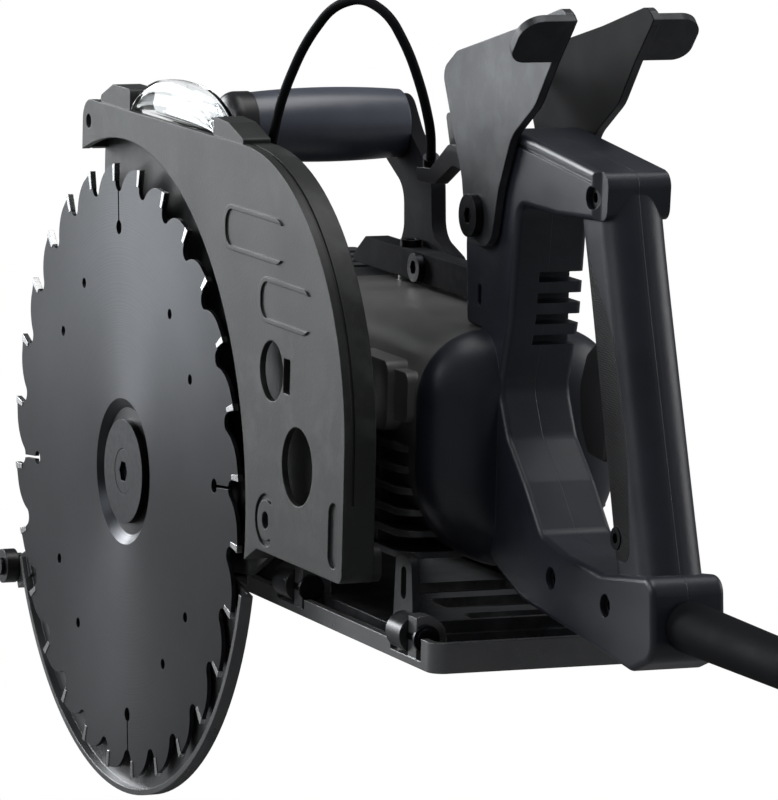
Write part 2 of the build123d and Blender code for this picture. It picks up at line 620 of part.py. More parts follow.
def upper_guard():
    opening = disc(0, ARBOR_Z, GUARD_OPENING_D)
    guard = slab_y(guard_outline(), GUARD_FACE, GUARD_BACK)
    guard -= slab_y(guard_outline(-GUARD_RIM), GUARD_FACE + GUARD_T, GUARD_BACK - GUARD_BACK_T)
    guard -= slab_y(opening, GUARD_FACE - 1, GUARD_BACK - GUARD_BACK_T)
    guard -= rod_y(0, ARBOR_Z, GUARD_BACK - 5, GUARD_BACK + 1, NOSE_D)
    for x, z in guard_screw_places():
        guard -= rod_y(x, z, GUARD_BACK - 5, GUARD_BACK + 1, 5)
    # Holes through the face and the back wall
    through = disc(165, 103, 24.5) + rounded(181, 103, 7, 14, 1) + disc(193.5, 68.5, 31.6)
    guard -= slab_y(through, GUARD_FACE - 1, GUARD_FACE + GUARD_T + 1)
    guard -= slab_y(disc(165, 103, 24.5), GUARD_BACK - 5, GUARD_BACK + 1)
    guard -= rod_y(GUARD_FRONT + 7, GUARD_TOP - 9.4, GUARD_FACE - 1, GUARD_BACK + 1, 6)
    guard -= rod_y(161.7, 42, GUARD_FACE - 1, GUARD_BACK + 1, 7)
    guard -= slab_y(arc_slot(161.7, 42, 9.5, 2.4, 60, 300), GUARD_FACE - 1, GUARD_FACE + 1)
    guard -= slab_y(rounded(231.5, 47, 10, 26, 4.9), GUARD_FACE - 1, GUARD_FACE + 1.2)
    # Raised frames on the face, left bare
    for x0, x1, z in ((112, 176, 155.5), (151, 205, 131)):
        x = (x0 + x1) / 2
        frame = rounded(x, z, x1 - x0, 18.4, 8) - rounded(x + 2, z, x1 - x0 - 1, 14.8, 6.3)
        frame -= Pos(x1, z) * Rectangle(4, 30)
        guard += slab_y(frame, GUARD_FACE - 0.8, GUARD_FACE + 0.5)
    # Groove along the rim behind the face
    band = guard_outline(1) - guard_outline(-0.8)
    upper = block(GUARD_FRONT - 9, GUARD_REAR + 19, -90, -60, 60, GUARD_TOP + 10)
    guard -= slab_y(band, GUARD_FACE + 3.4, GUARD_FACE + 4.6) & upper
    # Cast lug on the rear foot of the rim
    guard += slab_y(rounded(GUARD_REAR - 18, GUARD_FOOT + 7, 34, 14, 4), GUARD_BACK, GUARD_BACK + 4)
    # Cast blocks that hold the ends of the sight lens
    top = GUARD_TOP
    front = outline((-32, top - 1, 0), (2, top - 1, 0), (2, top + 9, 2), (-18, top + 9, 5), (-32, top + 3, 2))
    rear = outline((96, top - 1, 0), (128, top - 1, 0), (128, top + 2, 1), (112, top + 7, 4), (96, top + 8, 2))
    for face in (front, rear):
        guard += slab_y(face, LENS_Y - 6, LENS_Y + 6)
    keep("upper_guard", guard)


def sight_lens():
    half = 5.5
    top = GUARD_TOP
    dome = outline((2, top, 0), (96, top, 0), (86, top + 10, 12), (48, top + 19, 40), (12, top + 10, 14))
    inner = outline((4.5, top - 1, 0), (93, top - 1, 0), (84, top + 8.4, 11), (48, top + 16.6, 38),
                    (13.5, top + 8.4, 12))
    lens = slab_y(dome, LENS_Y - half, LENS_Y + half)
    lens -= slab_y(inner, LENS_Y - half + 1.6, LENS_Y + half - 1.6)
    keep("sight_lens", lens)


def lower_guard():
    r = LOWER_D / 2
    wall = sector(0, ARBOR_Z, NOSE_D / 2 + 2, r, LOWER_START, LOWER_END) + disc(0, ARBOR_Z, NOSE_D + 20)
    wall -= disc(0, ARBOR_Z, NOSE_D + 2 * RUNNING + 0.1)
    guard = slab_y(wall, LOWER_BACK - LOWER_WALL, LOWER_BACK)
    rim = sector(0, ARBOR_Z, r - LOWER_RIM, r, LOWER_START, LOWER_END)
    guard += slab_y(rim, LOWER_FACE, LOWER_BACK)
    rx, rz = roller_place()
    lug = sector(0, ARBOR_Z, r - 6, ROLLER_CIRCLE_D / 2, LOWER_START - 1, LOWER_START + 4)
    lug += disc(rx, rz, 11)
    guard += slab_y(lug, LOWER_BACK - 3, LOWER_BACK)
    guard -= rod_y(rx, rz, LOWER_BACK - 4, LOWER_BACK + 1, 4)
    keep("lower_guard", guard)
    ring = disc(0, ARBOR_Z, NOSE_D + 8) - disc(0, ARBOR_Z, NOSE_D - 3)
    keep("guard_retaining_ring", slab_y(ring, NOSE_END - 0.9, NOSE_END))
    roller = rod_y(rx, rz, LOWER_BACK - 9, LOWER_BACK - 3.3, ROLLER_D)
    roller -= rod_y(rx, rz, LOWER_BACK - 10, LOWER_BACK - 3, ROLLER_PIN_D + 2 * RUNNING)
    keep("guard_roller", roller)
    pin = rod_y(rx, rz, LOWER_BACK - 9.6, LOWER_BACK, 4)
    pin += rod_y(rx, rz, LOWER_BACK - 10.6, LOWER_BACK - 9.3, 8)
    pin += rod_y(rx, rz, LOWER_BACK - 9.3, LOWER_BACK - 3, ROLLER_PIN_D)
    keep("roller_pin", pin)
    spring_r = NOSE_D / 2 + 1.3
    coil = Pos(0, 0, ARBOR_Z) * Rot(90, 0, 0) * Torus(spring_r, 0.8)
    keep("guard_spring", Pos(0, GUARD_BACK - GUARD_BACK_T - 1.1, 0) * coil)


def roller_place():
    a = radians(LOWER_START)
    return ROLLER_CIRCLE_D / 2 * cos(a), ARBOR_Z + ROLLER_CIRCLE_D / 2 * sin(a)


def shoe():
    length, width = SHOE_REAR - SHOE_FRONT, SHOE_RIGHT - SHOE_LEFT
    cx, cy = (SHOE_REAR + SHOE_FRONT) / 2, (SHOE_RIGHT + SHOE_LEFT) / 2
    plan = rounded(cx, cy, length, width, 6)
    base = slab_z(plan, 0, SHOE_LIP)
    base -= slab_z(rounded(cx, cy, length - 2 * SHOE_LIP_T, width - 2 * SHOE_LIP_T, 4), SHOE_T, SHOE_LIP + 1)
    # The left lip is low beside the blade, the gear case sits in a window
    lip = SHOE_LEFT + SHOE_LIP_T + 0.1
    base -= block(SHOE_FRONT - 1, SHOE_REAR - 12, SHOE_LEFT - 1, lip, 7, SHOE_LIP + 1)
    for x0, x1 in ((-46, 92), (124, 153), (241, SHOE_REAR - 12)):
        base -= block(x0, x1, SHOE_LEFT - 1, lip, SHOE_T, 8)
    base -= slab_z(rounded(0, SHOE_LEFT, 82, 28, 6), -1, SHOE_T + 1)
    windows = rounded(150, 12, 26, 58, 4) + rounded(184, 12, 26, 58, 4) + rounded(218, 12, 26, 58, 4)
    windows += rounded(54, 0, 48, 48, 8)
    base -= slab_z(windows, -1, SHOE_T + 1)
    # Rip fence passages through both lips near the front
    for y in (SHOE_LEFT, SHOE_RIGHT):
        base -= block(SHOE_FRONT + 14, SHOE_FRONT + 34, y - 4, y + 4, SHOE_T, SHOE_T + 3.4)
    # Bevel ears and the bevel quadrant
    for x0, x1 in ((142, 150), (258, 266)):
        ear = disc(BEVEL_Y, BEVEL_Z, KNUCKLE_D + 3)
        ear += Pos(BEVEL_Y, BEVEL_Z / 2 + 0.5) * Rectangle(KNUCKLE_D + 3, BEVEL_Z - 1)
        ear &= Pos(BEVEL_Y + 20, 20) * Rectangle(2 * (BEVEL_Y + 20 - SHOE_LEFT - 0.2), 60)
        base += slab_x(ear, x0, x1)
        base -= rod_x(BEVEL_Y, BEVEL_Z, x0 - 1, x1 + 1, BEVEL_PIN_D)
    near, far = BEVEL_R - BEVEL_W / 2, BEVEL_R + BEVEL_W / 2
    quadrant = sector(BEVEL_Y, BEVEL_Z, near, far, 0, BEVEL_BOLT_ANGLE + BEVEL_SWING + 9)
    quadrant += Pos(BEVEL_Y + BEVEL_R, BEVEL_Z / 2) * Rectangle(BEVEL_W, BEVEL_Z + 1)
    quadrant -= arc_slot(BEVEL_Y, BEVEL_Z, BEVEL_R, LOCK_BOLT_D + 2 * SEAT,
                         BEVEL_BOLT_ANGLE, BEVEL_BOLT_ANGLE + BEVEL_SWING)
    base += slab_x(quadrant, BEVEL_PLATE_X - 3.9, BEVEL_PLATE_X) & block(-300, 300, -100, 100, 0, 200)
    # Pressed ribs along the floor
    for y in (SHOE_LEFT + 12, SHOE_RIGHT - 9):
        base += slab_z(rounded(170, y, 130, 3, 1.4), SHOE_T - 0.5, SHOE_T + 0.9)
    keep("shoe", base)
    pins = [rod_x(BEVEL_Y, BEVEL_Z, 127, 150, BEVEL_PIN_D), rod_x(BEVEL_Y, BEVEL_Z, 244, 268, BEVEL_PIN_D)]
    pins[0] += rod_x(BEVEL_Y, BEVEL_Z, 150, 151.5, BEVEL_PIN_D + 3)
    pins[1] += rod_x(BEVEL_Y, BEVEL_Z, 266, 267.5, BEVEL_PIN_D + 3)
    keep("bevel_pins", *pins)


def quadrant_place(angle):
    a = radians(angle)
    return BEVEL_Y + BEVEL_R * cos(a), BEVEL_Z + BEVEL_R * sin(a)


def carriage():
    z0, z1 = CARRIAGE_Z, CARRIAGE_Z + CARRIAGE_T
    plan = rounded(72, -4.5, 352, 93, 6) + rounded(-1, -4, 108, 105, 6)
    plan -= rounded(-1, -3, 90, 92, 4)
    plan -= rounded(150, 12, 22, 54, 4) + rounded(184, 12, 22, 54, 4) + rounded(218, 12, 22, 54, 4)
    # Notch that lets the bevel ear of the shoe pass
    plan -= Pos(147, -50) * Rectangle(10.4, 8)
    frame = slab_z(plan, z0, z1)
    # Stiffening flange along the right edge and across the rear
    frame += block(-90, -50, 39.5, 42, z1, z1 + 5) + block(56, 240, 39.5, 42, z1, z1 + 5)
    frame += block(243, 246, -44, 36, z1, z1 + 5)
    # Pivot lugs either side of the gear case tongue
    side = disc(DEPTH_X, DEPTH_Z, 19) + Pos(DEPTH_X, (DEPTH_Z + z0) / 2) * Rectangle(19, DEPTH_Z - z0)
    half = TONGUE_W / 2 + LUG_GAP
    for y0, y1 in ((TONGUE_Y - half - LUG_T, TONGUE_Y - half), (TONGUE_Y + half, TONGUE_Y + half + LUG_T)):
        frame += slab_y(side, y0, y1)
    frame -= rod_y(DEPTH_X, DEPTH_Z, -50, 20, DEPTH_PIN_D)
    # Hinge knuckles for the bevel
    for x0, x1 in ((127, 141.7), (244, 257.7)):
        frame += rod_x(BEVEL_Y, BEVEL_Z, x0, x1, KNUCKLE_D) + block(x0, x1, BEVEL_Y, -48, z0, z1)
        frame -= rod_x(BEVEL_Y, BEVEL_Z, x0 - 1, x1 + 1, BEVEL_PIN_D + 2 * RUNNING)
    # Flange that carries the bevel bolt
    flange = sector(BEVEL_Y, BEVEL_Z, BEVEL_R - 9, BEVEL_R + 9, 0, BEVEL_BOLT_ANGLE + 9)
    flange += Pos(BEVEL_Y + BEVEL_R, (BEVEL_Z + z0) / 2) * Rectangle(18, BEVEL_Z - z0 + 0.5)
    by, bz = quadrant_place(BEVEL_BOLT_ANGLE)
    frame += slab_x(flange - disc(by, bz, LOCK_BOLT_D), BEVEL_PLATE_X + 0.3, BEVEL_PLATE_X + 4.3)
    frame += block(BEVEL_PLATE_X + 0.3, -100, BEVEL_Y + BEVEL_R - 9, BEVEL_Y + BEVEL_R + 9, z0, z1)
    # Upright bracket with a slot near the rear left corner
    upright = outline((221, z0, 0), (223, 38, 4), (238, 38, 4), (242, z0, 0)) - rounded(231, 27, 5, 13, 2.4)
    frame += slab_y(upright, -50.5, -47)
    # Depth quadrant, an upright arc about the front pivot
    inner, outer = QUADRANT_R - QUADRANT_W / 2, QUADRANT_R + QUADRANT_W / 2
    arc = sector(DEPTH_X, DEPTH_Z, inner, outer, -6, DEPTH_BOLT_ANGLE + DEPTH_SWING + 6)
    arc -= arc_slot(DEPTH_X, DEPTH_Z, QUADRANT_R, LOCK_BOLT_D + 2 * SEAT,
                    DEPTH_BOLT_ANGLE, DEPTH_BOLT_ANGLE + DEPTH_SWING)
    frame += slab_y(arc, QUADRANT_Y - QUADRANT_T / 2, QUADRANT_Y + QUADRANT_T / 2)
    frame += block(52, 75, QUADRANT_Y - QUADRANT_T / 2, -48, z0, z1)
    keep("carriage", frame)
    pin = rod_y(DEPTH_X, DEPTH_Z, TONGUE_Y - half - LUG_T, TONGUE_Y + half + LUG_T, DEPTH_PIN_D)
    pin += rod_y(DEPTH_X, DEPTH_Z, TONGUE_Y - half - LUG_T - 3, TONGUE_Y - half - LUG_T, DEPTH_PIN_D + 6)
    pin += rod_y(DEPTH_X, DEPTH_Z, TONGUE_Y + half + LUG_T, TONGUE_Y + half + LUG_T + 1.5, DEPTH_PIN_D + 4)
    keep("depth_pivot_pin", pin)


def lever(length, hub_d, tip_w):
    """Outline of a clamping lever, hub at the origin, arm along +a."""
    face = disc(0, 0, hub_d)
    hub, tip = hub_d / 2 - 1, tip_w / 2
    face += outline((0, -hub, 0), (length - 26, -tip, 10), (length, -tip, tip - 1),
                    (length, tip, tip - 1), (length - 26, tip, 10), (0, hub, 0))
    return face


def clamps():
    x, z = depth_bolt_place()
    y0 = QUADRANT_Y - QUADRANT_T / 2
    bolt = rod_y(x, z, y0 - 0.3, CASE_LEFT + 7, LOCK_BOLT_D)
    bolt += rod_y(x, z, y0 - 4.3, y0 - 0.3, 15)
    keep("depth_bolt", bolt)
    arm = lever(112, 20, 13) - disc(0, 0, LOCK_BOLT_D + 2 * RUNNING)
    arm = slab_y(arm, QUADRANT_Y + QUADRANT_T / 2 + SEAT, CASE_LEFT - 3 - SEAT)
    grip = slab_y(rounded(101, 0, 22, 15, 5), GUARD_BACK + 3, CASE_LEFT - 3 - SEAT)
    keep("depth_lever", Pos(x, 0, z) * Rot(0, -12, 0) * (arm + grip))
    y, z = quadrant_place(BEVEL_BOLT_ANGLE)
    bolt = rod_x(y, z, BEVEL_PLATE_X - 13, BEVEL_PLATE_X + 4.3, LOCK_BOLT_D)
    bolt += rod_x(y, z, BEVEL_PLATE_X + 4.3, BEVEL_PLATE_X + 6.8, LOCK_BOLT_D + 2)
    keep("bevel_bolt", bolt)
    arm = Pos(y, z) * Rot(0, 0, 18) * (lever(58, 18, 12) - disc(0, 0, LOCK_BOLT_D + 2 * RUNNING))
    keep("bevel_lever", slab_x(arm, BEVEL_PLATE_X - 10.5, BEVEL_PLATE_X - 4.2))


def grip_centre(z):
    return 335 - GRIP_LEAN * (z - 122)


def grip_form(inset=0.0):
    """The oval rear grip, drawn in all round by the inset."""
    sections = []
    for z, deeper in ((42, 4), (70, 2), (122, 0), (165, -1), (194, 1)):
        deep = GRIP_DEPTH + deeper - 2 * inset
        wide = GRIP_W - 2 * inset
        sections.append(Plane.XY.offset(z) * rounded(grip_centre(z), 0, deep, wide, wide / 2 - 1.5))
    return loft(sections)


def handle():
    """The D handle with the motor end bell, moulded in two halves that meet at y = 0."""
    half = HANDLE_W / 2
    bell_top = HOUSING_TOP + SEAT
    frame = outline(
        (206, bell_top, 3), (203, 160, 20), (212, 194, 16), (243, 208, 12), (331, 199.5, 6), (330, 181.5, 5),
        (290, 179, 8), (253, 179, 7), (251, 160, 14), (248, 133, 12), (239.5, 104, 14), (249, 86, 10),
        (266, 71, 12), (283, 53, 8), (306, 49, 14), (338, 47, 10), (HANDLE_END - 3, 53, 7), (HANDLE_END, 22, 9),
        (366, 14, 8), (330, 18, 30), (266, 24, 20), (240, 33, 10), (HOUSING_REAR, 44, 0),
        (HOUSING_REAR, bell_top, 0),
    )
    body = slab_y(frame, -half, half)
    edges = [e for f in body.faces().filter_by(Axis.Y) for e in f.edges()]
    body = fillet([e for e in edges if e.center().X > HOUSING_REAR + 0.5 or e.center().Z > bell_top + 1], 2.4)
    # The block at the rear of the top bar is narrower, with bevelled corners
    plan = outline((180, -half, 0), (321, -half, 3), (325, -CAP_W / 2, 3), (340, -CAP_W / 2, 0),
                   (340, CAP_W / 2, 0), (325, CAP_W / 2, 3), (321, half, 3), (180, half, 0))
    body -= block(300, 336, -20, 20, 172, 210) - extrude(Plane.XY.offset(170) * plan, 42)
    # Groove under the rim of the top plate
    groove = outline((236, 203.2, 0), (320, 195.1, 0), (320, 196.5, 0), (236, 204.6, 0))
    for side in (-1, 1):
        body -= slab_y(groove, *sorted((side * (half - 0.9), side * (half + 1))))
    bell = []
    for x, narrow, low, corner in ((0, 0, 0, HOUSING_CORNER), (8, 2.5, 1.5, 27), (14, 9, 6, 24),
                                   (18, 25, 16, 14)):
        bell.append(Plane.YZ.offset(HOUSING_REAR + x) * motor_section(narrow, low, corner))
    body += loft(bell)
    body += grip_form()
    # Trigger pocket, switch pocket, cord passage, louvres and the slot in the column
    pocket = outline((304, 141, 2), (304, 84, 0), (338, 84, 2), (338, 141, 2))
    body -= slab_y(pocket, -TRIGGER_W / 2 - 0.4, TRIGGER_W / 2 + 0.4)
    body -= block(338, 347.3, -7.3, 7.3, 93.7, 128.3)
    body -= rod_x(0, CORD_Z, 366, HANDLE_END + 2, BOOT_D - 5)
    body -= rod_x(0, CORD_Z, 360, 367, BOOT_D + 3)
    body -= rod_x(0, MOTOR_Z, HOUSING_REAR - 1, HOUSING_REAR + 4, 60)
    for k in range(4):
        body -= block(236, 262, -4, 16, 122 + 8.5 * k, 126 + 8.5 * k)
    body -= slab_y(rounded(219, 139, 3.6, 9, 1.7), -20, -12)
    body -= rod_y(HOOK_X, HOOK_Z, -30, 30, HOOK_BOLT_D + 0.2)
    for x, z in handle_screw_places():
        body -= rod_y(x, z, -half + 4, half - 5, 4)
        body -= rod_y(x, z, -half - 1, -half + 5, 9)
    body -= slab_y(lever_pocket(), -8.4, 8.4)
    body -= rod_y(LIFT_PIVOT[0], LIFT_PIVOT[1], -12, 12, TRIGGER_PIN_D)
    body -= rod_y(TRIGGER_PIVOT[0], TRIGGER_PIVOT[1], -PIN_HALF, PIN_HALF, TRIGGER_PIN_D)
    # Seats of the rubber pads, which wrap the front corners of the grip
    skin = grip_form() - grip_form(PAD_T)
    face = outline((290, 177, 0), (304, 177, 4), (337, 141, 60), (353, 96, 60), (359, 54, 5), (320, 54, 0))
    pads = []
    for side in (-1, 1):
        pad = skin & slab_y(face - disc(346, 62, 9.6), *sorted((side * 9, side * 20)))
        body -= pad
        pads.append(pad)
    keep("grip_pads", *pads)
    left = body & block(200, 400, -60, 0, 0, 220)
    right = body & block(200, 400, 0, 60, 0, 220)
    keep("handle_left", left)
    keep("handle_right", right)
    keep("handle_screws", *[screw_y(x, z, -half + 5, 20, 4, 8.6, 3, -1) for x, z in handle_screw_places()])


def handle_screw_places():
    return [(293, 37.5), (343, 35.5), (320, 189.5), (238, 196), (346, 62)]


def lever_pocket():
    return outline((196, 172, 0), (222, 178, 3), (222, 194, 3), (214, 200, 2), (196, 200, 0))


def trigger():
    x, z = TRIGGER_PIVOT
    face = outline((303, 127, 3), (297, 113, 12), (299.5, 98, 10), (306, 88, 4), (323, 87, 3), (331, 126, 4),
                   (329, 137, 4), (318, 137.5, 4))
    body = slab_y(face, -TRIGGER_W / 2, TRIGGER_W / 2)
    front = [e for e in body.edges() if e.center().X < 307 and abs(abs(e.center().Y) - TRIGGER_W / 2) < 0.1]
    body = fillet(front, 2)
    body -= rod_y(x, z, -20, 20, TRIGGER_PIN_D + 2 * RUNNING)
    keep("trigger", body)
    keep("handle_pins", rod_y(x, z, -PIN_HALF, PIN_HALF, TRIGGER_PIN_D),
         rod_y(LIFT_PIVOT[0], LIFT_PIVOT[1], -12, 12, TRIGGER_PIN_D))
    switch = block(338.3, 347, -7, 7, 94, 128)
    switch += rod_x(0, 112, 332.6, 338.3, 6)
    keep("switch", switch)


def rafter_hook():
    plate = outline(
        (186, 225, 6), (200, 234, 10), (259, 249, 30), (297, 260, 5), (306, 257, 4), (289, 238, 16),
        (275, 220, 20), (254, 206, 18), (243, 184, 24), (HOOK_X + 15, HOOK_Z - 11, 10),
        (HOOK_X - 8, HOOK_Z - 12, 9), (HOOK_X - 14, HOOK_Z + 14, 24), (196, 206, 30),
    )
    inner = HANDLE_W / 2 + HOOK_GAP
    pieces = []
    for side in (-1, 1):
        sheet = slab_y(plate, *sorted((side * inner, side * (inner + HOOK_T))))
        # The tab is bent outward along the slanted rear edge and runs up that slope
        near, far = side * inner, side * (inner + TAB_L)
        tab = outline((near, 0, 0), (far, 0, 7), (far, TAB_H, 9), (near, TAB_H, 0))
        slope = Plane(origin=(TAB_FOOT[0], 0, TAB_FOOT[1]), x_dir=(0, 1, 0), z_dir=(0.75, 0, -0.66))
        sheet += extrude(slope * tab, -HOOK_T)
        sheet -= rod_y(HOOK_X, HOOK_Z, -40, 40, HOOK_BOLT_D + 2 * RUNNING)
        pieces.append(sheet)
    # Spacer bar that ties the two plates in front of the column
    keep("rafter_hook", pieces[0] + pieces[1] + rod_y(196, 227.5, -inner - 0.5, inner + 0.5, 6))
    out = inner + HOOK_T
    bolt = rod_y(HOOK_X, HOOK_Z, -out - 0.3, out + 0.3, HOOK_BOLT_D)
    bolt += rod_y(HOOK_X, HOOK_Z, -out - 3.4, -out - 0.3, 17)
    bolt -= slab_y(hexagon(HOOK_X, HOOK_Z, 6), -out - 4, -out - 1.5)
    bolt += slab_y(hexagon(HOOK_X, HOOK_Z, 13), out + 0.3, out + 5)
    keep("hook_bolt", bolt)


def front_handle():
    low = RAIL_Z - RAIL_H / 2
    x, z = FRONT_X, FRONT_Z
    foot = RAIL_BOLT_X + 11
    post = outline((x - 14, z - 15, 8), (x - 17, z + 3, 12), (x - 4, z + 17, 10), (x + 12, z - 2, 20),
                   (x + 36, z - 18, 12), (x + 38, low + 17.5, 10), (foot, low + 10.5, 5), (foot, low, 2),
                   (foot - 60, low, 2), (x + 9, low + 17.5, 10), (x + 8, z - 26, 12))
    y0 = RAIL_Y + RAIL_W / 2
    frame = slab_y(post, y0, y0 + STRAP_T)
    near = [e for e in frame.edges() if abs(e.center().Y - y0 - STRAP_T) < 0.01]
    frame = fillet(near, 1.5)
    rail = outline((RAIL_FRONT, low, 2), (RAIL_FRONT + 17, RAIL_Z + RAIL_H / 2, 2),
                   (RAIL_REAR, RAIL_Z + RAIL_H / 2, 2), (RAIL_REAR, low, 2))
    frame += slab_y(rail, y0 - RAIL_W, y0)
    frame += rod_y(FRONT_X, FRONT_Z, FRONT_LEFT + 8, y0 + 1, 18)
    frame -= rod_y(RAIL_BOLT_X, RAIL_Z, y0 - RAIL_W - 1, y0 + 9, 6)
    for x in rail_screws():
        frame -= rod_z(x, RAIL_Y, RAIL_Z - 10, RAIL_Z + 10, 5)
    keep("front_handle_frame", frame)
    middle = (FRONT_LEFT + FRONT_RIGHT) / 2
    profile = make_face([
        Line((9, FRONT_LEFT + 12), (14, FRONT_LEFT + 12)),
        ThreePointArc((14, FRONT_LEFT + 12), (FRONT_GRIP_D / 2, middle), (14.2, FRONT_RIGHT)),
        Line((14.2, FRONT_RIGHT), (9, FRONT_RIGHT)),
        Line((9, FRONT_RIGHT), (9, FRONT_LEFT + 12)),
    ])
    keep("front_grip", Pos(FRONT_X, 0, FRONT_Z) * revolve(profile, Axis.Y))
    cap = make_face([
        Line((0, FRONT_LEFT), (9, FRONT_LEFT)),
        ThreePointArc((9, FRONT_LEFT), (13, FRONT_LEFT + 2.2), (14.6, FRONT_LEFT + 6)),
        Line((14.6, FRONT_LEFT + 6), (14.6, FRONT_LEFT + 12)),
        Line((14.6, FRONT_LEFT + 12), (9, FRONT_LEFT + 12)),
        Line((9, FRONT_LEFT + 12), (9, FRONT_LEFT + 8)),
        Line((9, FRONT_LEFT + 8), (0, FRONT_LEFT + 8)),
        Line((0, FRONT_LEFT + 8), (0, FRONT_LEFT)),
    ])
    keep("front_grip_cap", Pos(FRONT_X, 0, FRONT_Z) * revolve(cap, Axis.Y))


CABLE_ROUTE = [
    (111, -62, 184), (117, -60, 207), (126, -54, 230), (137, -47, 246), (151, -40, 251),
    (163, -33, 245), (168, -26, 230), (169, -20, 213), (166, -15, 198), (160, -12, 187),
]
CORD_ROUTE = [
    (HANDLE_END + BOOT_L, 0, CORD_Z), (563, 0, CORD_Z), (610, 6, 4), (634, 38, -46), (616, 88, -86),
    (566, 116, -95), (508, 110, -92), (450, 112, -81),
]


def tube(route, diameter, label):
    """A round tube along straight runs joined by the largest arcs that the runs allow."""
    points = [Vector(*p) for p in route]
    radii = []
    for a, b, c in zip(points, points[1:], points[2:]):
        turn = radians((b - a).get_angle(c - b))
        radii.append(0.45 * min((b - a).length, (c - b).length) / tan(turn / 2))
    path = FilletPolyline(*points, radius=radii)
    section = Plane(origin=points[0], z_dir=points[1] - points[0]) * Circle(diameter / 2)
    solid = sweep(section, path)
    print(label, "radii", [round(r) for r in radii], "length", round(path.length, 1),
          "volume ratio", round(solid.volume / (path.length * pi * diameter ** 2 / 4), 4))
    return solid


def guard_lift():
    keep("lift_cable", tube(CABLE_ROUTE, CABLE_D, "lift cable"))
    start, second = Vector(*CABLE_ROUTE[0]), Vector(*CABLE_ROUTE[1])
    end, before = Vector(*CABLE_ROUTE[-1]), Vector(*CABLE_ROUTE[-2])
    ferrules = []
    for tip, neighbour in ((start, second), (end, before)):
        direction = (tip - neighbour).normalized()
        middle = tip + direction * (FERRULE_L / 2)
        ferrules.append(Plane(origin=middle, z_dir=direction) * Cylinder(CABLE_D / 2 + 1.3, FERRULE_L))
    front_bracket = block(103, 119, GUARD_BACK, -64.5, 168, 182)
    front_bracket += block(103, 119, -66, -57, 176, 178.5)
    front_bracket -= ferrules[0]
    arm = outline((152, 177, 2), (152, 182, 2), (166, 183, 4), (184, 195, 6), (211.4, 193, 0), (211.4, 184, 0),
                  (188, 187, 6), (170, 177, 5))
    rear_bracket = slab_y(arm, -15, -9) - ferrules[1] - NODES["handle_left"]
    keep("cable_ends", *ferrules, front_bracket, rear_bracket)
    px, pz = LIFT_PIVOT
    face = disc(px, pz, 11) + outline((px, pz - 5, 0), (px, pz + 5, 0), (184, 193, 8), (175, 207, 5),
                                      (164, 205, 2), (171, 187, 8))
    lift = slab_y(face, -7.8, 7.8) - rod_y(px, pz, -10, 10, TRIGGER_PIN_D + 2 * RUNNING)
    for k in range(4):
        lift -= rod_y(163.6 + k * 1.4, 203 - 4 * k, -9, 9, 2)
    keep("lift_lever", lift)


def lock_button():
    x0 = CASE_FRONT - 8
    button = rod_x(LOCK_Y, LOCK_Z, x0, CASE_FRONT - 3.5, LOCK_D + 4)
    button += rod_x(LOCK_Y, LOCK_Z, x0, CASE_FRONT + 9, LOCK_D)
    keep("blade_lock_button", button)


def cord():
    keep("cord", tube(CORD_ROUTE, CORD_D, "cord"))
    start = Vector(*CORD_ROUTE[0])
    x0, x1 = HANDLE_END, start.X
    profile = Polyline(
        (360.4, 0), (360.4, BOOT_D / 2 + 1), (366, BOOT_D / 2 + 1), (366, BOOT_D / 2 - 2.6),
        (x0, BOOT_D / 2 - 2.6), (x0, BOOT_D / 2), (x0 + 90, BOOT_D / 2 - 1),
        (x1 - 2, CORD_D / 2 + 1.6), (x1, CORD_D / 2 + 0.6), (x1, 0), close=True,
    )
    keep("strain_relief", Pos(0, start.Y, start.Z) * revolve(make_face(profile), Axis.X))
    end, before = Vector(*CORD_ROUTE[-1]), Vector(*CORD_ROUTE[-2])
    direction = (end - before)
    direction = Vector(direction.X, direction.Y, 0).normalized()
    axis = Plane(origin=end, z_dir=(end - before).normalized())
    collar = axis * Pos(0, 0, 7) * Cylinder(8, 14)
    body_plane = Plane(origin=end + (end - before).normalized() * 12, z_dir=direction)
    body = body_plane * Pos(0, 0, 22) * Cylinder(PLUG_D / 2, 40) + collar
    for k in range(8):
        body -= body_plane * Rot(0, 0, 45 * k) * Pos(PLUG_D / 2 + 0.6, 0, 20) * Box(3, 5, 26)
    keep("plug_body", body)
    prongs = []
    for k in range(3):
        blade_shape = sector(0, 0, 8.6, 10.2, 120 * k - 28, 120 * k + 28)
        prongs.append(body_plane * extrude(Plane.XY.offset(42) * blade_shape, 16))
    keep("plug_prongs", *prongs)


def write():
    os.makedirs("parts", exist_ok=True)
    for name, shape in NODES.items():
        export_step(shape, f"parts/{name}.step")


for make in (blade, arbor, worm_drive, bearings, gear_case, gear_cover, case_screws, motor_housing, motor,
             upper_guard, sight_lens, lower_guard, shoe, carriage, clamps, handle, trigger, rafter_hook,
             front_handle, guard_lift, lock_button, cord):
    make()
write()
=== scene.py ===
import math

import bmesh
import bpy
from mathutils import Matrix, Vector


